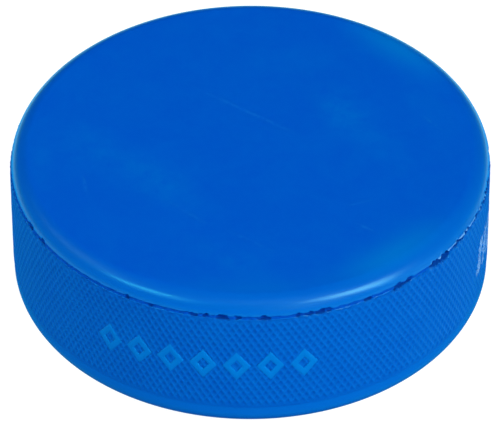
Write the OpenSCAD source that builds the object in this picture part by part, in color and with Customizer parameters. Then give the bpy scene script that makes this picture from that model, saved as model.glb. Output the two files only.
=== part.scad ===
// Ice hockey puck: one moulding of solid rubber with two flat faces, rounded rims, a diamond-knurled
// side wall, a trimmed parting line just under the top rim, a row of smooth raised marks and a print.
// Origin: the centre of the bottom face. +Z points up to the top face. -Y is the side with the row of
// raised marks, and +X the side with the print. Angles run from -Y towards +X. Millimetres.

/* [Disc] */
// Diameter over the crests of the knurled side wall
puck_d = 76.2; // [74:0.1:80]
// Height from the bottom face to the top face
puck_h = 25.4; // [24:0.1:30]
// Radius that rounds the rim of each flat face
rim_r = 3.1; // [2.4:0.1:3.4]
// How far the smooth wall lies inside the knurled crests
wall_inset = 0.1; // [0.05:0.05:0.3]

/* [Knurled side band] */
// Height of the band's lower edge above the bottom face
band_bottom = 4.1; // [3.6:0.1:5]
// Distance of the band's upper edge below the top face
band_drop = 3.2; // [3.2:0.1:4.5]
// Radial thickness of the band
band_t = 1.0; // [0.8:0.1:1.6]

/* [Parting line] */
// Distance of the slot's lower edge below the top face
slot_drop = 3.0; // [2.8:0.1:3.1]
// Height of the slot that trimming left behind
slot_h = 0.6; // [0.4:0.1:0.8]
// Depth of the slot, inwards from the smooth wall
slot_depth = 0.7; // [0.4:0.1:1]
// Thickness of the torn flash that is left inside the slot
flash_t = 0.2; // [0.1:0.05:0.3]
// Share of the slot's depth that the flash still fills
flash_share = 0.7; // [0.4:0.05:0.9]
// Number of places where the flash is torn away
tear_count = 17; // [6:1:30]
// Width of each tear along the wall
tear_w = 1.6; // [0.6:0.1:2.4]

/* [Raised side marks] */
// Number of smooth lozenge marks in the row
mark_count = 7; // [3:1:8]
// Angle from the -Y side to the centre of the row
mark_mid_angle = -11.2; // [-20:0.1:20]
// Angle between neighbouring marks
mark_step_angle = 7.9; // [7.2:0.1:10]
// Height of each mark
mark_h = 5.8; // [4:0.1:8]
// Width of each mark
mark_w = 4.4; // [3:0.1:4.6]
// Size of the lozenge window in each mark, as a share of the mark
mark_window = 0.4; // [0.2:0.05:0.6]
// Depth of each mark's root in the band
mark_depth = 0.6; // [0.3:0.1:0.7]

/* [Printed side mark] */
// Number of slanted stripes in the print
stripe_count = 7; // [3:1:9]
// Angle from the -Y side to the first stripe
stripe_start_angle = 72.5; // [60:0.5:80]
// Angle between neighbouring stripes
stripe_step_angle = 4.4; // [4:0.1:6]
// Height of the stripes
stripe_h = 6.4; // [4:0.1:8]
// Width of each stripe along the wall
stripe_w = 1.8; // [1:0.1:1.8]
// How far each stripe leans over its height
stripe_lean = 1.8; // [0:0.1:3]
// Thickness of the ink film
ink_t = 0.05; // [0.03:0.01:0.1]

/* [Hidden] */
$fn = 180;

crest_r = puck_d / 2;
wall_r = crest_r - wall_inset;
seat_r = crest_r - band_t;
band_top = puck_h - band_drop;
slot_z = puck_h - slot_drop;
slot_floor_r = wall_r - slot_depth;
flash_w = slot_depth * flash_share;
// The marks stand a little above the middle of the knurled band
mark_z = band_bottom + (band_top - band_bottom) * 0.485;
stripe_z = mark_z - 0.6;
// Successive tears turn by the golden angle, which spreads them unevenly
golden_angle = 137.508;
// Spare length of cutting shapes
over = 1;

module ring(inner_r, outer_r, low_z, high_z) {
    rotate_extrude() translate([inner_r, low_z]) square([outer_r - inner_r, high_z - low_z]);
}

// Places its children on the side wall: their X runs along the wall and their Y up it
module on_wall(angle, z) {
    rotate([0, 0, angle]) translate([0, 0, z]) rotate([90, 0, 0]) linear_extrude(crest_r + over) children();
}

// A full-height half section with both rims rounded
module disc_section() {
    square([wall_r - rim_r, puck_h]);
    translate([0, rim_r]) square([wall_r, puck_h - 2 * rim_r]);
    for (z = [rim_r, puck_h - rim_r]) translate([wall_r - rim_r, z]) circle(rim_r);
}

module lozenge(w, h) {
    polygon([[0, h / 2], [w / 2, 0], [0, -h / 2], [-w / 2, 0]]);
}

module mark_outline() {
    difference() {
        lozenge(mark_w, mark_h);
        lozenge(mark_w * mark_window, mark_h * mark_window);
    }
}

module stripe_outline() {
    half_w = stripe_w / 2;
    half_h = stripe_h / 2;
    half_lean = stripe_lean / 2;
    polygon([
        [-half_w - half_lean, -half_h],
        [half_w - half_lean, -half_h],
        [half_w + half_lean, half_h],
        [-half_w + half_lean, half_h]
    ]);
}

module all_marks() {
    for (i = [0 : mark_count - 1]) {
        on_wall(mark_mid_angle + (i - (mark_count - 1) / 2) * mark_step_angle, mark_z) mark_outline();
    }
}

module all_stripes() {
    for (i = [0 : stripe_count - 1]) {
        on_wall(stripe_start_angle + i * stripe_step_angle, stripe_z) stripe_outline();
    }
}

// The body of the puck: both faces, both rims and the smooth lower wall, with a seat for the knurled
// band and the slot of the parting line
module rubber_disc() {
    color([0.0, 0.34, 0.76])
    rotate_extrude() difference() {
        disc_section();
        translate([seat_r, band_bottom]) square([band_t, band_top - band_bottom]);
        translate([slot_floor_r, slot_z]) square([slot_depth + over, slot_h]);
    }
}

// The envelope of the diamond knurl, up to its crests, with room for the marks and the ink
module knurled_side_band() {
    color([0.03, 0.36, 0.75])
    difference() {
        ring(seat_r, crest_r, band_bottom, band_top);
        raised_shapes();
        ink_shapes();
    }
}

// What trimming left of the rubber that was squeezed out between the two mould halves
module parting_line_flash() {
    mid_z = slot_z + slot_h / 2;
    color([0.0, 0.16, 0.5])
    difference() {
        ring(slot_floor_r, slot_floor_r + flash_w, mid_z - flash_t / 2, mid_z + flash_t / 2);
        for (i = [0 : tear_count - 1]) {
            rotate([0, 0, i * golden_angle])
            translate([-tear_w / 2, -wall_r, mid_z - flash_t])
            cube([tear_w, wall_r - slot_floor_r - flash_w * 0.2, 2 * flash_t]);
        }
    }
}

module raised_shapes() {
    intersection() {
        ring(crest_r - mark_depth, crest_r, band_bottom, band_top);
        all_marks();
    }
}

module raised_side_marks() {
    color([0.02, 0.47, 0.84]) raised_shapes();
}

module ink_shapes() {
    intersection() {
        ring(crest_r - ink_t, crest_r, band_bottom, band_top);
        all_stripes();
    }
}

module printed_side_mark() {
    color([0.62, 0.72, 0.93]) ink_shapes();
}

rubber_disc();
knurled_side_band();
parting_line_flash();
raised_side_marks();
printed_side_mark();
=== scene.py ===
"""A blue hockey puck: a moulded rubber disc with a diamond-knurled side wall, a torn parting line under
its top rim, smooth raised lozenges and a worn print. Angles run from -Y towards +X, lengths are metres."""

import math

import bmesh
import bpy
import numpy as np
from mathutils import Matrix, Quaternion, Vector


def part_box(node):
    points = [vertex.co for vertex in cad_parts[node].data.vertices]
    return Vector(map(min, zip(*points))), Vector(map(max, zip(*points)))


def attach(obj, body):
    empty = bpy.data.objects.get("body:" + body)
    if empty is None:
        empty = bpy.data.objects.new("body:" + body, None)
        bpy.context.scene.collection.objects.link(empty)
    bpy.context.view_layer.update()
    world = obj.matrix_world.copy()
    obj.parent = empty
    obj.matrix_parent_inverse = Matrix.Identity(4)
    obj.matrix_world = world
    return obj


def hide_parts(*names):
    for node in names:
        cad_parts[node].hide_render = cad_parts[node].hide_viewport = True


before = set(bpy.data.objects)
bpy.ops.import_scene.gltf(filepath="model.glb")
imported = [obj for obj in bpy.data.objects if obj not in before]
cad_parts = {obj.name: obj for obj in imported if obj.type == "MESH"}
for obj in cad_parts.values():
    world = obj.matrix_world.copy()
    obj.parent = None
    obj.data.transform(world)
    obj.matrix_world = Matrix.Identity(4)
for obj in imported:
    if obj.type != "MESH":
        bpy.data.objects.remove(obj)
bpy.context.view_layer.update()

MM = 0.001
TURN = 2 * math.pi

# ---------------------------------------------------------------- sizes, from the frame where it has them
disc_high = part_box("rubber_disc")[1]
band_low, band_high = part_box("knurled_side_band")
flash_low, flash_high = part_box("parting_line_flash")
marks_low, marks_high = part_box("raised_side_marks")
print_low, print_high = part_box("printed_side_mark")

TOP_Z = disc_high.z
WALL_R = disc_high.x
CREST_R = band_high.x
BAND_LOW_Z = band_low.z
BAND_HIGH_Z = band_high.z
SEAT_R = CREST_R - 1.0 * MM
RIM_R = 3.1 * MM

SLOT_MID_Z = (flash_low.z + flash_high.z) / 2
SLOT_HALF = 0.3 * MM
SLOT_DEPTH = 0.7 * MM
SLOT_FLOOR_R = WALL_R - SLOT_DEPTH
# The top mould half closed a little off centre, towards the front right
CAP_SHIFT = Vector((0.07, -0.07)) * MM
# How far the top face sinks unevenly
SETTLE = 0.012 * MM

# The knurl is two families of ridges that wind opposite ways
KNURL_STARTS = 208
KNURL_AXIAL_PITCH = 1.993 * MM
KNURL_DEPTH = 0.16 * MM
# Points along one pitch, and how high the ridge stands there, as shares
KNURL_POINTS = ((-0.06, 1.0), (0.06, 1.0), (0.26, 0.15), (0.5, 0.0), (0.74, 0.15))
# The ridges that lean the other way stand a little lower
LOW_RIDGES = 0.9
# The knurl fades into the smooth wall over this height at the band's lower edge
KNURL_FADE = 1.1 * MM
# The knurl is smeared and torn over this height below the parting line
FRAY = 0.75 * MM

MARK_COUNT = 7
MARK_MID_ANGLE = math.radians(-11.2)
MARK_STEP_ANGLE = math.radians(7.9)
MARK_W = 4.4 * MM
MARK_WINDOW = 0.4
MARK_ROOT_R = CREST_R - 0.6 * MM
MARK_FACE_R = CREST_R + 0.01 * MM
MARK_BEVEL = 0.14 * MM

STRIPE_COUNT = 7
STRIPE_START_ANGLE = math.radians(72.5)
STRIPE_STEP_ANGLE = math.radians(4.4)
STRIPE_W = 1.8 * MM
STRIPE_LEAN = 1.8 * MM

# Where the front of the parting line is torn open, in degrees, and half the width and height of each
# tear in mm
FRONT_TEARS = (
    (-30, 0.45, 0.36), (-24, 0.4, 0.35), (-13.4, 0.7, 0.38), (-10.5, 0.5, 0.36), (-6.8, 1.15, 0.46),
    (-3, 0.6, 0.4), (3, 1.05, 0.46), (11.3, 0.6, 0.38), (13.8, 0.7, 0.4), (16.5, 0.9, 0.48),
    (18.5, 0.6, 0.4), (28.4, 0.7, 0.45), (36.8, 0.9, 0.58), (40, 0.8, 0.45), (48.6, 1.0, 0.6),
    (50.8, 1.2, 0.78), (53, 0.9, 0.9), (57.8, 1.0, 0.55), (60.3, 1.1, 0.62), (63, 0.8, 0.5),
    (68.5, 1.1, 0.5), (72.5, 1.3, 0.62), (76.5, 1.4, 0.8), (80.5, 1.6, 0.95), (85, 1.6, 0.9),
    (92, 1.3, 0.6),
)
BACK_TEARS = 30
TEAR_DEPTH = 0.36 * MM
TEAR_SEED = 41
# The back tears lie between these angles, in degrees
BACK_SPAN = (97, 324)
# A thin burr stands out along the cap's lip on the right, its pale colour a painted highlight: its ends in
# degrees, and how far out
BURR_SPAN = (44, 80)
BURR_OUT = 0.24 * MM

FLOOR_GLOW = 1.25
# The pale sweep round the puck: its flat part, the bend at its edge, and how high it rises
SWEEP_R = 3.0
SWEEP_BEND = 1.5
SWEEP_HEIGHT = 6.0
# The key is a little warm, and the lights at the sides lean to cyan
KEY_COLOUR = (0.8, 0.72, 0.7)
RIGHT_COLOUR = (0.4, 0.85, 0.9)
EDGE_COLOUR = (0.3, 1.0, 1.0)
WORLD_STRENGTH = 1.0
# The glow from below, by height: 0 is straight down, 0.5 the horizon, 1 straight up
WORLD_GLOW = (
    (0.0, (0.01, 0.03, 0.05)),
    (0.1, (0.03, 0.29, 0.3)),
    (0.22, (0.0, 0.3, 0.7)),
    (0.3, (0.0, 1.15, 2.3)),
    (0.38, (0.7, 1.6, 1.36)),
    (0.44, (0.12, 0.36, 0.32)),
    (0.495, (0.03, 0.55, 0.3)),
    (0.54, (0.02, 0.36, 0.28)),
    (0.6, (0.02, 0.02, 0.8)),
    (0.7, (0.0, 0.0, 0.0)),
)

# Worn marks on the top face, in mm and degrees: centre x and y, half width, half height, lean, strength
PALE_PATCHES = (
    (15, 8, 6, 12, 25, 0.75), (22, -2, 4, 9, 20, 0.45), (-25, 0, 7, 9, 20, 0.55), (-15, -8, 6, 13, 40, 0.75),
    (-3, -27, 4, 12, 55, 0.45), (-33, -4, 3, 9, 5, 0.4), (28, 12, 5, 9, 10, 0.3), (5, 22, 12, 6, 10, 0.3),
)
# The same for the paler places along the rim
RIM_PATCHES = ((22, -26, 8, 17, -52, 1.0), (24, 25, 8, 15, 45, 1.0), (0, -34, 20, 5, 0, 0.35))
# Centre x and y, half length, half width and lean of each scratch
SCRATCHES = (
    (0, 8.3, 15, 0.55, -36), (-8.5, -11.8, 0.5, 0.45, 0), (29, 5.5, 4, 0.5, -50), (-26, -9, 0.5, 4, 10),
    (-10, -16, 7, 0.5, -42), (18, -20, 3.5, 0.5, -35), (0, -23, 6, 0.5, -35), (17, -14, 3, 0.4, 20),
)


# ---------------------------------------------------------------- shapes shared by several pieces
def to_xyz(angle, radius, z):
    return np.stack([radius * np.sin(angle), -radius * np.cos(angle), z], -1)


def smooth(t):
    t = np.clip(t, 0, 1)
    return t * t * (3 - 2 * t)


def ring_noise(angle, z, seed, size, terms=24):
    """Smooth noise of about -1 to 1, with features of about the given size, that joins up round the puck."""
    random = np.random.RandomState(seed)
    most = max(2, int(math.pi * CREST_R / size))
    total = np.zeros(np.broadcast(angle, z).shape)
    for _ in range(terms):
        cycles = random.randint(most // 6, most + 1) * random.choice((-1, 1))
        rise = random.uniform(0.2, 1.0) * math.pi / size
        total += np.cos(cycles * angle + rise * z + random.uniform(0, TURN))
    return total / math.sqrt(terms)


def make_tears():
    """Angle, height, half width, half height and share of the full depth of each tear."""
    random = np.random.RandomState(TEAR_SEED)
    places = list(FRONT_TEARS)
    for _ in range(BACK_TEARS):
        half_w = random.uniform(0.35, 0.9)
        places.append((random.uniform(*BACK_SPAN), half_w, 0.3 + 0.14 * half_w))
    return [
        (
            math.radians(degrees),
            SLOT_MID_Z - (0.8 * (half_h - 0.35) + random.uniform(0.0, 0.1)) * MM,
            half_w * MM,
            half_h * MM,
            0.2 + 1.6 * half_h,
        )
        for degrees, half_w, half_h in places
    ]


TEARS = make_tears()


def tear_depth(angle, z):
    """How deep the wall is torn away at a point, as a share of the depth of a common tear."""
    depth = np.zeros(np.broadcast(angle, z).shape)
    ragged = 0.25 * ring_noise(angle, z, 7, 0.45 * MM)
    for at, mid_z, half_w, half_h, share in TEARS:
        away = (angle - at + math.pi) % TURN - math.pi
        d = np.sqrt((away * CREST_R / half_w) ** 2 + ((z - mid_z) / half_h) ** 2)
        depth = np.maximum(depth, share * smooth((1.25 - d + ragged) * 1.6) * (d < 2.5))
    return depth


def finish_piece(name, vertices, faces, material, nodes, sharp_deg=40):
    """A smooth-shaded mesh piece that rides on the puck and stands for its CAD node."""
    mesh = bpy.data.meshes.new(name)
    mesh.from_pydata([tuple(v) for v in vertices], [], faces)
    mesh.validate()
    mesh.update()
    piece = bpy.data.objects.new(name, mesh)
    bpy.context.scene.collection.objects.link(piece)
    return dress(piece, material, nodes, sharp_deg)


def dress(piece, material, nodes, sharp_deg=40):
    mesh = piece.data
    mesh.polygons.foreach_set("use_smooth", [True] * len(mesh.polygons))
    mesh.set_sharp_from_angle(angle=math.radians(sharp_deg))
    mesh.materials.clear()
    mesh.materials.append(material)
    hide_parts(*nodes)
    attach(piece, "root")
    return piece


# ---------------------------------------------------------------- material helpers
def new_material(name):
    material = bpy.data.materials.new(name)
    material.use_nodes = True
    return material, Tree(material.node_tree)


class Tree:
    """Short calls for building a node tree."""

    def __init__(self, tree):
        self.tree = tree
        self.nodes = tree.nodes
        self.shader = next(n for n in tree.nodes if n.type == "BSDF_PRINCIPLED")
        self.place = self.nodes.new("ShaderNodeTexCoord").outputs["Object"]

    def link(self, source, target):
        self.tree.links.new(source, target)

    def add(self, kind, inputs=None, **settings):
        node = self.nodes.new(kind)
        for name, value in settings.items():
            setattr(node, name, value)
        for key, value in (inputs or {}).items():
            if isinstance(value, bpy.types.NodeSocket):
                self.link(value, node.inputs[key])
            else:
                node.inputs[key].default_value = value
        return node

    def noise(self, size, detail=2.0, roughness=0.5, stretch=None, distortion=0.0):
        """Noise from 0 to 1 with features of about the given size."""
        place = self.place
        if stretch:
            place = self.add("ShaderNodeMapping", {"Vector": place, "Scale": stretch}).outputs[0]
        return self.add(
            "ShaderNodeTexNoise",
            {"Vector": place, "Scale": 1 / size, "Detail": detail, "Roughness": roughness,
             "Distortion": distortion},
        ).outputs["Fac"]

    def ramp(self, value, low, high, out_low=0.0, out_high=1.0):
        return self.add(
            "ShaderNodeMapRange",
            {"Value": value, "From Min": low, "From Max": high, "To Min": out_low, "To Max": out_high},
        ).outputs[0]

    def math(self, operation, a, b=0.0):
        return self.add("ShaderNodeMath", {0: a, 1: b}, operation=operation).outputs[0]

    def mix(self, share, a, b):
        node = self.add("ShaderNodeMix", data_type="RGBA")
        for socket, value in ((node.inputs[0], share), (node.inputs[6], a), (node.inputs[7], b)):
            if isinstance(value, bpy.types.NodeSocket):
                self.link(value, socket)
            else:
                socket.default_value = value
        return node.outputs[2]

    def bump(self, height, distance, strength=1.0, normal=None):
        inputs = {"Height": height, "Distance": distance, "Strength": strength}
        if normal is not None:
            inputs["Normal"] = normal
        return self.add("ShaderNodeBump", inputs).outputs[0]

    def radius(self):
        """Distance from the puck's axis."""
        parts = self.add("ShaderNodeSeparateXYZ", {0: self.place}).outputs
        flat = self.add("ShaderNodeCombineXYZ", {0: parts[0], 1: parts[1]}).outputs[0]
        return self.add("ShaderNodeVectorMath", {0: flat}, operation="LENGTH").outputs["Value"]

    def height(self):
        return self.add("ShaderNodeSeparateXYZ", {0: self.place}).outputs[2]

    def spot(self, x, y, half_w, half_h, degrees):
        """A soft oval on the top face, 1 in its middle and 0 at its edge. Sizes are in millimetres."""
        moved = self.add(
            "ShaderNodeMapping",
            {"Vector": self.place, "Location": (x * MM, y * MM, TOP_Z),
             "Rotation": (0, 0, math.radians(degrees)), "Scale": (half_w * MM, half_h * MM, 1 * MM)},
            vector_type="TEXTURE",
        ).outputs[0]
        away = self.add("ShaderNodeVectorMath", {0: moved}, operation="LENGTH").outputs["Value"]
        return self.add(
            "ShaderNodeMapRange",
            {"Value": away, "From Min": 1.0, "From Max": 0.0, "To Min": 0.0, "To Max": 1.0},
            interpolation_type="SMOOTHSTEP",
        ).outputs[0]


def rgba(r, g, b):
    return (r, g, b, 1.0)


def satin(tree, specular=0.5, tint=(0.14, 1.0, 1.0)):
    """Blue rubber's shine: its reflections take on the blue of the pigment."""
    tree.shader.inputs["Specular IOR Level"].default_value = specular
    tree.shader.inputs["Specular Tint"].default_value = rgba(*tint)


def moulded_rubber():
    """Smooth moulded face: faint clouds of bloom, worn patches, a long scratch and fine grain, with painted
    light on the rim, a painted highlight on the burr and painted shade in the slot.
    """
    material, t = new_material("moulded_rubber")
    satin(t, 0.5, (0.26, 1.0, 1.0))
    deep, pale = rgba(0.0, 0.107, 0.65), rgba(0.0, 0.138, 0.67)
    cloud = t.ramp(t.noise(0.009, 6, 0.7, distortion=0.8), 0.42, 0.7)
    base = t.mix(t.math("MULTIPLY", cloud, 0.45), deep, pale)
    patchy = t.ramp(t.noise(0.0035, 5, 0.72), 0.36, 0.64, 0.1, 1.25)
    for x, y, half_w, half_h, degrees, share in PALE_PATCHES:
        patch = t.math("MULTIPLY", t.spot(x, y, half_w, half_h, degrees), patchy)
        base = t.mix(t.math("MULTIPLY", patch, share), base, rgba(0.0, 0.16, 0.67))
    near_rim = t.ramp(t.radius(), 28 * MM, 34 * MM)
    for x, y, half_w, half_h, degrees, share in RIM_PATCHES:
        patch = t.math("MULTIPLY", t.spot(x, y, half_w, half_h, degrees), near_rim)
        base = t.mix(t.math("MULTIPLY", patch, share), base, rgba(0.0, 0.188, 0.67))
    fine = t.ramp(t.noise(0.0016, 5, 0.75), 0.36, 0.66)
    base = t.mix(t.math("MULTIPLY", fine, 0.14), base, rgba(0.0, 0.165, 0.7))
    worn = t.ramp(t.noise(0.0012, 3, 0.7), 0.4, 0.6)
    for x, y, half_w, half_h, degrees in SCRATCHES:
        scratch = t.math("MULTIPLY", t.spot(x, y, half_w, half_h, degrees), worn)
        base = t.mix(t.math("MULTIPLY", scratch, 0.4), base, rgba(0.01, 0.2, 0.7))
    # Towards the wall the rim and the smooth wall are painted greener: painted light where the side lamps
    # fall on the same rubber.
    near_wall = t.ramp(t.radius(), 35.2 * MM, 37.4 * MM)
    base = t.mix(near_wall, base, rgba(0.0, 0.13, 0.54))
    # The lower rim is painted a little paler: painted light from the table below
    low_rim = t.math("MULTIPLY", near_wall, t.ramp(t.height(), 3.1 * MM, 2.6 * MM))
    base = t.mix(low_rim, base, rgba(0.0, 0.152, 0.56))
    # Rubber standing out past the wall, the burr on the lip, is painted pale: a painted highlight along the
    # lip.
    base = t.mix(t.ramp(t.radius(), WALL_R + 0.05 * MM, WALL_R + 0.14 * MM), base, rgba(0.14, 0.37, 0.75))
    # Surfaces set back in the slot are painted dark navy: painted shade under the cap's lip, on the torn
    # rubber.
    slot_shade_band = t.math("MULTIPLY", t.ramp(t.height(), BAND_HIGH_Z - 0.1 * MM, BAND_HIGH_Z + 0.05 * MM),
                     t.ramp(t.height(), SLOT_MID_Z + 0.35 * MM, SLOT_MID_Z + 0.25 * MM))
    torn = t.math("MULTIPLY", slot_shade_band, t.ramp(t.radius(), WALL_R - 0.06 * MM, WALL_R - 0.18 * MM))
    base = t.mix(torn, base, rgba(0.0, 0.035, 0.28))
    t.link(base, t.shader.inputs["Base Color"])
    rough = t.ramp(t.noise(0.004, 4, 0.6), 0.3, 0.7, 0.23, 0.268)
    t.link(t.math("MAXIMUM", rough, torn), t.shader.inputs["Roughness"])
    grain = t.bump(t.noise(0.00035, 2, 0.6), 0.00001, 0.12)
    t.link(t.bump(t.noise(0.005, 2), 0.00004, 0.4, grain), t.shader.inputs["Normal"])
    return material


def knurled_rubber():
    material, t = new_material("knurled_rubber")
    satin(t, 0.4, (0.12, 1.0, 1.0))
    # The pits are painted darker than the crests: painted shade in the knurl's hollows.
    pit_shade_to_crest = t.ramp(t.radius(), CREST_R - 0.75 * KNURL_DEPTH, CREST_R)
    base = t.mix(pit_shade_to_crest, rgba(0.0, 0.086, 0.45), rgba(0.0, 0.121, 0.532))
    base = t.mix(t.ramp(t.noise(0.006, 4, 0.6), 0.4, 0.7, 0.0, 0.25), base, rgba(0.0, 0.147, 0.55))
    # Below the pits, inside the tears, the wall is painted deep navy: painted shade in the torn pits.
    outside_tear_shade = t.ramp(t.radius(), CREST_R - KNURL_DEPTH - 0.16 * MM, CREST_R - KNURL_DEPTH - 0.04 * MM)
    base = t.mix(outside_tear_shade, rgba(0.0, 0.04, 0.28), base)
    t.link(base, t.shader.inputs["Base Color"])
    rough = t.ramp(t.noise(0.003, 4, 0.6), 0.3, 0.7, 0.32, 0.44)
    t.link(t.math("MAXIMUM", rough, t.math("SUBTRACT", 1.0, outside_tear_shade)), t.shader.inputs["Roughness"])
    t.link(t.bump(t.noise(0.0003, 2, 0.6), 0.00001, 0.5), t.shader.inputs["Normal"])
    return material


def torn_rubber():
    material, t = new_material("torn_rubber")
    satin(t, 0.2)
    # The torn rubber is painted dark, and darker the deeper it lies in the slot: painted shade under the
    # cap's lip.
    deep = t.ramp(t.radius(), WALL_R - 0.5 * MM, WALL_R - 0.1 * MM)
    base = t.mix(t.noise(0.0008, 3, 0.6), rgba(0.0, 0.058, 0.42), rgba(0.0, 0.095, 0.53))
    base = t.mix(deep, rgba(0.0, 0.028, 0.27), base)
    t.link(base, t.shader.inputs["Base Color"])
    t.shader.inputs["Roughness"].default_value = 0.8
    t.link(t.bump(t.noise(0.0004, 3, 0.7), 0.0001, 0.8), t.shader.inputs["Normal"])
    return material


def smooth_mark_rubber():
    material, t = new_material("smooth_mark_rubber")
    satin(t)
    # The marks are the wall's rubber painted paler and greener: painted light caught by their smooth faces.
    base = t.mix(t.noise(0.003, 3, 0.6), rgba(0.0, 0.172, 0.57), rgba(0.0, 0.19, 0.6))
    t.link(base, t.shader.inputs["Base Color"])
    t.link(t.ramp(t.noise(0.002, 4, 0.6), 0.3, 0.7, 0.34, 0.44), t.shader.inputs["Roughness"])
    t.link(t.bump(t.noise(0.0004, 2, 0.6), 0.00001, 0.4), t.shader.inputs["Normal"])
    return material


def pale_ink():
    material, t = new_material("pale_ink")
    worn = t.ramp(t.noise(0.0011, 4, 0.7), 0.35, 0.62)
    base = t.mix(worn, rgba(0.06, 0.21, 0.55), rgba(0.21, 0.35, 0.65))
    t.link(base, t.shader.inputs["Base Color"])
    t.shader.inputs["Roughness"].default_value = 0.55
    t.link(t.bump(t.noise(0.0004, 2, 0.6), 0.00001, 0.5), t.shader.inputs["Normal"])
    return material


# ---------------------------------------------------------------- the moulded disc
def disc_rows():
    """Radius, height, and how far it follows the slot's lower and upper edges, of each row."""
    low, high = SLOT_MID_Z - SLOT_HALF, SLOT_MID_Z + SLOT_HALF
    flat_r = WALL_R - RIM_R
    rows = [(flat_r * i / 9, 0.0, 0, 0) for i in range(1, 9)]
    arc = [math.radians(d) for d in range(-90, 1, 6)]
    rows += [(flat_r + RIM_R * math.cos(a), RIM_R + RIM_R * math.sin(a), 0, 0) for a in arc]
    rows += [(WALL_R, BAND_LOW_Z, 0, 0), (SEAT_R, BAND_LOW_Z, 0, 0)]
    rows += [(SEAT_R, BAND_HIGH_Z, 0, 0), (WALL_R - 0.02 * MM, BAND_HIGH_Z, 0, 0)]
    rows += [(WALL_R + 0.02 * MM, low - 0.08 * MM, 0.6, 0), (WALL_R - 0.02 * MM, low - 0.02 * MM, 1, 0)]
    rows += [(WALL_R - 0.1 * MM, low + 0.02 * MM, 1, 0), (WALL_R - 0.3 * MM, low + 0.04 * MM, 1, 0)]
    rows += [(SLOT_FLOOR_R, low, 1, 0), (SLOT_FLOOR_R, SLOT_MID_Z, 0, 0)]
    centre_z = TOP_Z - RIM_R
    start = math.asin((high - centre_z) / RIM_R)
    lip_r = flat_r + RIM_R * math.cos(start)
    rows += [(SLOT_FLOOR_R, high - 0.05 * MM, 0, 1), (lip_r - 0.12 * MM, high - 0.02 * MM, 0, 1)]
    for i in range(17):
        a = start + (math.pi / 2 - start) * i / 16
        rows.append((flat_r + RIM_R * math.cos(a), centre_z + RIM_R * math.sin(a), 0, math.exp(-3.0 * i)))
    rows += [(flat_r * i / 14, TOP_Z, 0, 0) for i in range(13, 0, -1)]
    return np.array(rows)


def burr(angle):
    """How far the burr stands out from the cap's lip."""
    start, end = (math.radians(degrees) for degrees in BURR_SPAN)
    along = (angle - start + math.pi) % TURN - math.pi
    share = smooth(along / 0.1) * smooth((end - start - along) / 0.1)
    return BURR_OUT * share * (0.8 + 0.2 * ring_noise(angle, 0, 14, 2.5 * MM))


def make_disc(material):
    segments = 960
    rows = disc_rows()
    angle = np.linspace(0, TURN, segments, endpoint=False)[None, :]
    r, z, low, high = (rows[:, i][:, None] + 0 * angle for i in range(4))
    angle = angle + 0 * r
    near_wall = r > SEAT_R + 0.1 * MM
    torn = tear_depth(angle, z) * near_wall
    ragged_low = 0.05 * MM * ring_noise(angle, 0, 11, 0.6 * MM)
    ragged_high = 0.05 * MM * ring_noise(angle, 0, 12, 0.9 * MM)
    z = z + low * (ragged_low - 0.06 * MM * torn) + high * (ragged_high + 0.15 * MM * torn)
    r = r - TEAR_DEPTH * torn - 0.05 * MM * low * np.abs(ring_noise(angle, 0, 13, 0.5 * MM))
    r = r + high ** 0.4 * burr(angle)
    points = to_xyz(angle, r, z)
    # The rubber settles very slightly unevenly as it cures
    settle = SETTLE * ring_noise(points[..., 0] / CREST_R, points[..., 1], 5, 9 * MM, 12)
    on_top = (rows[:, 1] == TOP_Z)[:, None]
    points[..., 2] += settle * on_top - SETTLE * on_top
    cap = smooth((z - SLOT_MID_Z) / (0.2 * MM))
    points[..., 0] += CAP_SHIFT.x * cap
    points[..., 1] += CAP_SHIFT.y * cap
    count = len(rows)
    vertices = np.vstack([points.reshape(-1, 3), [[0, 0, 0], [0, 0, TOP_Z - 0.01 * MM]]])
    faces = []
    for i in range(count - 1):
        for j in range(segments):
            k = (j + 1) % segments
            here, above = i * segments, (i + 1) * segments
            faces.append((here + j, here + k, above + k, above + j))
    bottom, top = count * segments, count * segments + 1
    last = (count - 1) * segments
    for j in range(segments):
        k = (j + 1) % segments
        faces.append((bottom, k, j))
        faces.append((top, last + j, last + k))
    return finish_piece(
        "rubber_disc_moulding", vertices, faces, material, ["rubber_disc"], 50
    )


# ---------------------------------------------------------------- marks and print, as outlines on the wall
def mark_angles():
    return [MARK_MID_ANGLE + (i - (MARK_COUNT - 1) / 2) * MARK_STEP_ANGLE for i in range(MARK_COUNT)]


def in_mark(angle, z, grow=0.0):
    """Above 0 inside a lozenge mark grown by that distance, below 0 outside, in metres from its edge."""
    half_w, half_h = MARK_W / 2, (marks_high.z - marks_low.z) / 2
    mid_z = (marks_high.z + marks_low.z) / 2
    slope = math.hypot(half_w, half_h) / (half_w * half_h)
    best = np.full(np.broadcast(angle, z).shape, -1.0)
    for at in mark_angles():
        away = np.abs((angle - at + math.pi) % TURN - math.pi) * CREST_R
        share = away / half_w + np.abs(z - mid_z) / half_h
        best = np.maximum(best, np.minimum(1 - share, share - MARK_WINDOW) / slope + grow)
    return best


# ---------------------------------------------------------------- the knurled band
def knurl_height(angle, z):
    """How far the knurl stands above its pits at a point, as a share of its depth."""
    shares = [(p, h) for p, h in KNURL_POINTS] + [(KNURL_POINTS[0][0] + 1, 1.0)]
    tops = []
    for way, full in ((1, 1.0), (-1, LOW_RIDGES)):
        t = (angle * KNURL_STARTS / TURN + way * z / KNURL_AXIAL_PITCH)
        t = (t - KNURL_POINTS[0][0]) % 1 + KNURL_POINTS[0][0]
        tops.append(full * np.interp(t, [p for p, h in shares], [h for p, h in shares]))
    return np.maximum(*tops)


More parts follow.
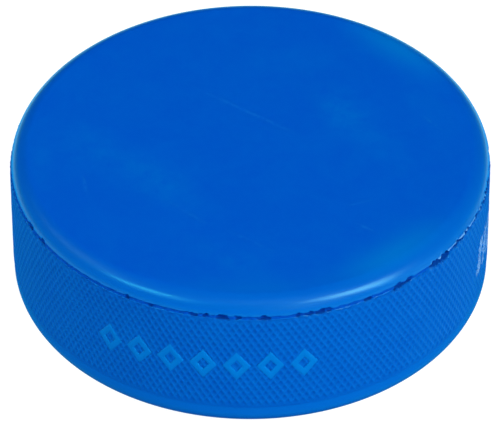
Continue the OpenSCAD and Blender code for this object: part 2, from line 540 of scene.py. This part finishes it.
def band_radius(angle, z, height):
    worn = 0.06 * ring_noise(angle, z, 21, 6 * MM) + 0.05 * ring_noise(angle, z, 22, 1.2 * MM)
    height = height * (1 - np.clip(0.08 + worn, 0, 0.5))
    frayed = smooth((z - BAND_HIGH_Z + FRAY * (1 + 0.5 * ring_noise(angle, 0, 23, 0.8 * MM))) / (0.4 * MM))
    crumbs = np.clip(0.25 + 0.4 * ring_noise(angle, z, 24, 0.45 * MM), -0.3, 0.6)
    height = height * (1 - 0.6 * frayed) + frayed * crumbs
    knurled = smooth((z - BAND_LOW_Z) / KNURL_FADE)
    r = CREST_R - KNURL_DEPTH * (1 - height)
    r = WALL_R + (r - WALL_R) * knurled
    r = r - 0.06 * MM * smooth(in_mark(angle, z, 0.0) / (0.2 * MM))
    return r - TEAR_DEPTH * tear_depth(angle, z)


def make_band(material):
    per_pitch = len(KNURL_POINTS)
    columns = KNURL_STARTS * per_pitch
    first = int(BAND_LOW_Z / (KNURL_AXIAL_PITCH / 2) * per_pitch) - per_pitch
    last = int(BAND_HIGH_Z / (KNURL_AXIAL_PITCH / 2) * per_pitch) + per_pitch
    shares = np.array([p for p, h in KNURL_POINTS])
    heights = np.array([h for p, h in KNURL_POINTS])
    a, k = np.meshgrid(np.arange(columns), np.arange(first, last + 1), indexing="ij")
    b = a - k
    u = a // per_pitch + shares[a % per_pitch]
    v = b // per_pitch + shares[b % per_pitch]
    angle = (u + v) / 2 * TURN / KNURL_STARTS
    z = (u - v) * KNURL_AXIAL_PITCH / 2
    height = np.maximum(heights[a % per_pitch], LOW_RIDGES * heights[b % per_pitch])
    points = to_xyz(angle, band_radius(angle, z, height), z).reshape(-1, 3)
    rows = last - first + 1
    faces = []
    for i in range(columns):
        here, there = i * rows, (i + 1) % columns * rows
        for j in range(1, rows - 1):
            faces.append((here + j, here + j - 1, there + j, there + j + 1))
    mesh = bpy.data.meshes.new("knurled_side_band_lattice")
    mesh.from_pydata([tuple(p) for p in points], [], faces)
    made = bmesh.new()
    made.from_mesh(mesh)
    for z_cut, up in ((BAND_LOW_Z, -1), (BAND_HIGH_Z, 1)):
        everything = made.verts[:] + made.edges[:] + made.faces[:]
        bmesh.ops.bisect_plane(
            made, geom=everything, dist=1e-9, plane_co=(0, 0, z_cut), plane_no=(0, 0, up), clear_outer=True
        )
    for z_cut in (BAND_LOW_Z, BAND_HIGH_Z):
        edges = [e for e in made.edges if e.is_boundary and abs(e.verts[0].co.z - z_cut) < 1e-6]
        grown = bmesh.ops.extrude_edge_only(made, edges=edges)["geom"]
        inner = [g for g in grown if isinstance(g, bmesh.types.BMVert)]
        for vert in inner:
            vert.co.x, vert.co.y = Vector((vert.co.x, vert.co.y)).normalized() * SEAT_R
        # The hidden seat needs far fewer corners than the knurl
        bmesh.ops.remove_doubles(made, verts=inner, dist=0.6 * MM)
    bmesh.ops.bridge_loops(made, edges=[e for e in made.edges if e.is_boundary])
    bmesh.ops.recalc_face_normals(made, faces=made.faces[:])
    made.to_mesh(mesh)
    made.free()
    piece = bpy.data.objects.new("knurled_side_band_lattice", mesh)
    bpy.context.scene.collection.objects.link(piece)
    return dress(piece, material, ["knurled_side_band"], 35)


# ---------------------------------------------------------------- torn flash in the parting line
def make_flash(material):
    """A ragged ring of torn rubber that nearly fills the slot, and is missing at the tears."""
    segments = 1800
    angle = np.linspace(0, TURN, segments, endpoint=False)
    root_r = SLOT_FLOOR_R - 0.05 * MM
    # How far each row of the section stands back from the wall, and its height as a share of the slot's half
    section = ((0.03, -1.0), (0.07, -0.7), (0.1, -0.3), (0.12, 0.1), (0.18, 0.5), (0.3, 0.85), (0.5, 1.0))
    rings = [to_xyz(angle, root_r + 0 * angle, SLOT_MID_Z - SLOT_HALF + 0 * angle)]
    for back, up in section:
        z = SLOT_MID_Z + SLOT_HALF * up
        ragged = 0.07 * ring_noise(angle, z, 31, 0.45 * MM) + 0.05 * ring_noise(angle, z, 32, 1.5 * MM)
        back = np.clip(back + ragged, 0.01, 0.6) * MM + TEAR_DEPTH * tear_depth(angle, z)
        back = np.minimum(back, SLOT_DEPTH)
        rings.append(to_xyz(angle, WALL_R - back, z + 0 * angle))
    rings.append(to_xyz(angle, root_r + 0 * angle, SLOT_MID_Z + SLOT_HALF + 0 * angle))
    count = len(rings)
    vertices = np.vstack(rings)
    faces = [
        (i * segments + j, i * segments + (j + 1) % segments,
         (i + 1) % count * segments + (j + 1) % segments, (i + 1) % count * segments + j)
        for i in range(count)
        for j in range(segments)
    ]
    return finish_piece(
        "parting_line_torn_flash", vertices, faces, material, ["parting_line_flash"]
    )


# ---------------------------------------------------------------- raised lozenge marks
def make_mark(number, at, material):
    """One lozenge frame, curved with the wall and rounded along its outer edges."""
    half_w, half_h = MARK_W / 2, (marks_high.z - marks_low.z) / 2
    mid_z = (marks_high.z + marks_low.z) / 2
    made = bmesh.new()
    per_side = 8
    rings = []
    # Each ring is (share of the outline, inset from the edge, radius), from the outer to the inner root
    steps = [(1.0, 0.0, MARK_ROOT_R), (1.0, 0.0, MARK_FACE_R - MARK_BEVEL)]
    steps += [
        (1.0, MARK_BEVEL * (1 - math.cos(a)), MARK_FACE_R - MARK_BEVEL * (1 - math.sin(a)))
        for a in (math.radians(d) for d in (30, 60, 90))
    ]
    inner = [(MARK_WINDOW, -inset, r) for share, inset, r in reversed(steps)]
    slope = half_w * half_h / math.hypot(half_w, half_h)
    for share, inset, r in steps + inner:
        scale = share - inset / slope
        corners = [(0, half_h), (half_w, 0), (0, -half_h), (-half_w, 0)]
        ring = []
        for i, (x0, y0) in enumerate(corners):
            x1, y1 = corners[(i + 1) % 4]
            for j in range(per_side):
                t = j / per_side
                x, y = (x0 + (x1 - x0) * t) * scale, (y0 + (y1 - y0) * t) * scale
                place = to_xyz(np.array(at + x / CREST_R), np.array(r), np.array(mid_z + y))
                ring.append(made.verts.new(tuple(place)))
        rings.append(ring)
    size = len(rings[0])
    for i in range(len(rings)):
        one, two = rings[i], rings[(i + 1) % len(rings)]
        for j in range(size):
            made.faces.new((one[j], one[(j + 1) % size], two[(j + 1) % size], two[j]))
    bmesh.ops.recalc_face_normals(made, faces=made.faces[:])
    mesh = bpy.data.meshes.new(f"raised_lozenge_{number}")
    made.to_mesh(mesh)
    made.free()
    piece = bpy.data.objects.new(f"raised_lozenge_{number}", mesh)
    bpy.context.scene.collection.objects.link(piece)
    return dress(piece, material, ["raised_side_marks"], 50)


# ---------------------------------------------------------------- printed stripes
def make_stripe(number, at, material):
    """One slanted stripe of ink that lies on the knurl, following its ridges."""
    low_z, high_z = print_low.z, print_high.z
    across, up = 26, 90
    s = np.linspace(-0.5, 0.5, across + 1)[:, None]
    t = np.linspace(0, 1, up + 1)[None, :]
    z = low_z + (high_z - low_z) * t + 0 * s
    angle = at + (s * STRIPE_W + (t - 0.5) * STRIPE_LEAN) / CREST_R
    r = band_radius(angle, z, knurl_height(angle, z))
    top = to_xyz(angle, r + 0.02 * MM, z).reshape(-1, 3)
    under = to_xyz(angle, r - 0.03 * MM, z).reshape(-1, 3)
    rows, total = up + 1, (across + 1) * (up + 1)
    faces = []
    for i in range(across):
        for j in range(up):
            a = i * rows + j
            faces.append((a, a + rows, a + rows + 1, a + 1))
            faces.append((total + a, total + a + 1, total + a + rows + 1, total + a + rows))
    edge = [(i * rows, (i + 1) * rows) for i in range(across)]
    edge += [((i + 1) * rows + up, i * rows + up) for i in range(across)]
    edge += [(j + 1, j) for j in range(up)]
    edge += [(across * rows + j, across * rows + j + 1) for j in range(up)]
    faces += [(b, a, total + a, total + b) for a, b in edge]
    vertices = np.vstack([top, under])
    return finish_piece(
        f"printed_stripe_{number}", vertices, faces, material, ["printed_side_mark"]
    )


# ---------------------------------------------------------------- stage, lights, camera
def make_floor():
    """A pale sweep: a table that curves up into a backdrop all round. It glows a little, so that it stays
    white right up to the puck."""
    segments = 96
    profile = [(0.3, 0.0), (SWEEP_R, 0.0)]
    profile += [
        (SWEEP_R + SWEEP_BEND * math.sin(a), SWEEP_BEND * (1 - math.cos(a)))
        for a in (math.radians(d) for d in range(6, 91, 6))
    ]
    profile.append((SWEEP_R + SWEEP_BEND, SWEEP_HEIGHT))
    made = bmesh.new()
    middle = made.verts.new((0, 0, 0))
    rings = []
    for r, z in profile:
        angles = (TURN * j / segments for j in range(segments))
        rings.append([made.verts.new((r * math.sin(a), -r * math.cos(a), z)) for a in angles])
    for j in range(segments):
        k = (j + 1) % segments
        made.faces.new((middle, rings[0][j], rings[0][k]))
        for one, two in zip(rings, rings[1:]):
            made.faces.new((one[j], two[j], two[k], one[k]))
    mesh = bpy.data.meshes.new("floor")
    made.to_mesh(mesh)
    made.free()
    mesh.polygons.foreach_set("use_smooth", [True] * len(mesh.polygons))
    floor = bpy.data.objects.new("floor", mesh)
    bpy.context.scene.collection.objects.link(floor)
    material, t = new_material("pale_floor")
    for socket, low, high in (("Base Color", 0.24, 0.26), ("Emission Color", 0.75, 0.77)):
        grey = t.mix(t.noise(0.05, 3), rgba(low, low, low), rgba(high, high, high))
        t.link(grey, t.shader.inputs[socket])
    t.shader.inputs["Emission Strength"].default_value = FLOOR_GLOW
    t.shader.inputs["Roughness"].default_value = 0.9
    t.shader.inputs["Specular IOR Level"].default_value = 0.0
    mesh.materials.append(material)
    # The puck is lit from below by the world, which the table would hide
    floor.visible_glossy = floor.visible_diffuse = floor.visible_shadow = False


def make_world():
    """Dark above, with a blue-green glow from below that lights the rims and the lower wall."""
    world = bpy.data.worlds.new("studio")
    bpy.context.scene.world = world
    world.use_nodes = True
    nodes, links = world.node_tree.nodes, world.node_tree.links
    place = nodes.new("ShaderNodeTexCoord").outputs["Generated"]
    parts = nodes.new("ShaderNodeSeparateXYZ")
    links.new(place, parts.inputs[0])
    share = nodes.new("ShaderNodeMapRange")
    share.inputs["From Min"].default_value = -1
    links.new(parts.outputs[2], share.inputs["Value"])
    ramp = nodes.new("ShaderNodeValToRGB")
    links.new(share.outputs[0], ramp.inputs[0])
    stops = ramp.color_ramp.elements
    for stop, (position, colour) in zip(stops, (WORLD_GLOW[0], WORLD_GLOW[-1])):
        stop.position, stop.color = position, rgba(*colour)
    for position, colour in WORLD_GLOW[1:-1]:
        stops.new(position).color = rgba(*colour)
    links.new(ramp.outputs[0], nodes["Background"].inputs["Color"])
    nodes["Background"].inputs["Strength"].default_value = WORLD_STRENGTH


def soft_light(
    name, azimuth, elevation, distance, width, height, power, glossy=True, turn=0, colour=(1, 1, 1)
):
    """A soft box that faces the puck from a direction given from -Y towards +X, in degrees."""
    data = bpy.data.lights.new(name, "AREA")
    data.shape = "RECTANGLE"
    data.size, data.size_y, data.energy = width, height, power
    data.color = colour
    light = bpy.data.objects.new(name, data)
    a, e = math.radians(azimuth), math.radians(elevation)
    way = Vector((math.sin(a) * math.cos(e), -math.cos(a) * math.cos(e), math.sin(e)))
    light.location = Vector((0, 0, TOP_Z / 2)) + way * distance
    light.rotation_mode = "QUATERNION"
    turned = Quaternion((0, 0, 1), math.radians(turn))
    light.rotation_quaternion = (-way).to_track_quat("-Z", "Y") @ turned
    light.visible_glossy = glossy
    light.visible_camera = False
    bpy.context.scene.collection.objects.link(light)
    return light


def make_lights():
    soft_light("overhead", 20, 65, 1.4, 0.8, 0.8, 3.8, glossy=False)
    soft_light("front", 25, 25, 1.4, 0.6, 0.6, 3.7, glossy=False)
    soft_light("side_left", -100, 45, 1.4, 0.6, 0.6, 4.1, glossy=False)
    # The key is a long soft box that leans to the right, with a shorter one beside its low end
    soft_light("key_long", 49, 37, 1.3, 0.75, 0.3, 7.5, turn=-45, colour=KEY_COLOUR)
    soft_light("key_short", 55, 40, 1.3, 0.5, 0.28, 3.3, turn=-15, colour=KEY_COLOUR)
    soft_light("key_end", 60, 22, 1.3, 0.15, 0.5, 1.4, colour=RIGHT_COLOUR)
    soft_light("edge_left", -57, 47, 1.3, 0.5, 0.16, 3.1, turn=20, colour=EDGE_COLOUR)
    soft_light("fill_left", -45, 42, 1.3, 0.6, 0.3, 0.85, turn=12, colour=EDGE_COLOUR)
    soft_light("glow_right", 74, 5, 1.3, 0.6, 0.25, 0.5, colour=RIGHT_COLOUR)
    soft_light("table_right", 98, -20, 1.0, 0.5, 0.22, 0.4, colour=RIGHT_COLOUR)


def make_camera():
    """Looks down at the front of the puck from a distance, through a long lens."""
    elevation, distance, roll = math.radians(40.44), 0.7901, -0.003
    # The puck sits a little left of and above the middle of the picture
    aim_right, aim_up = 0.27 * MM, -0.81 * MM
    data = bpy.data.cameras.new("camera")
    data.sensor_width, data.lens = 36.0, 353.1
    data.clip_start, data.clip_end = 0.01, 100
    camera = bpy.data.objects.new("camera", data)
    centre = Vector((0, 0, TOP_Z / 2))
    back = Vector((0, -math.cos(elevation), math.sin(elevation)))
    camera.location = centre + back * distance
    right, up = Vector((1, 0, 0)), Vector((0, math.sin(elevation), math.cos(elevation)))
    aim = centre + right * aim_right + up * aim_up
    look = (aim - camera.location).to_track_quat("-Z", "Y")
    camera.rotation_mode = "QUATERNION"
    camera.rotation_quaternion = look @ Quaternion((0, 0, 1), roll)
    bpy.context.scene.collection.objects.link(camera)
    bpy.context.scene.camera = camera


make_disc(moulded_rubber())
make_band(knurled_rubber())
make_flash(torn_rubber())
mark_material = smooth_mark_rubber()
for number, at in enumerate(mark_angles(), 1):
    make_mark(number, at, mark_material)
ink = pale_ink()
for number in range(STRIPE_COUNT):
    make_stripe(number + 1, STRIPE_START_ANGLE + number * STRIPE_STEP_ANGLE, ink)

make_floor()
make_world()
make_lights()
make_camera()
bpy.context.scene.view_settings.view_transform = "Standard"
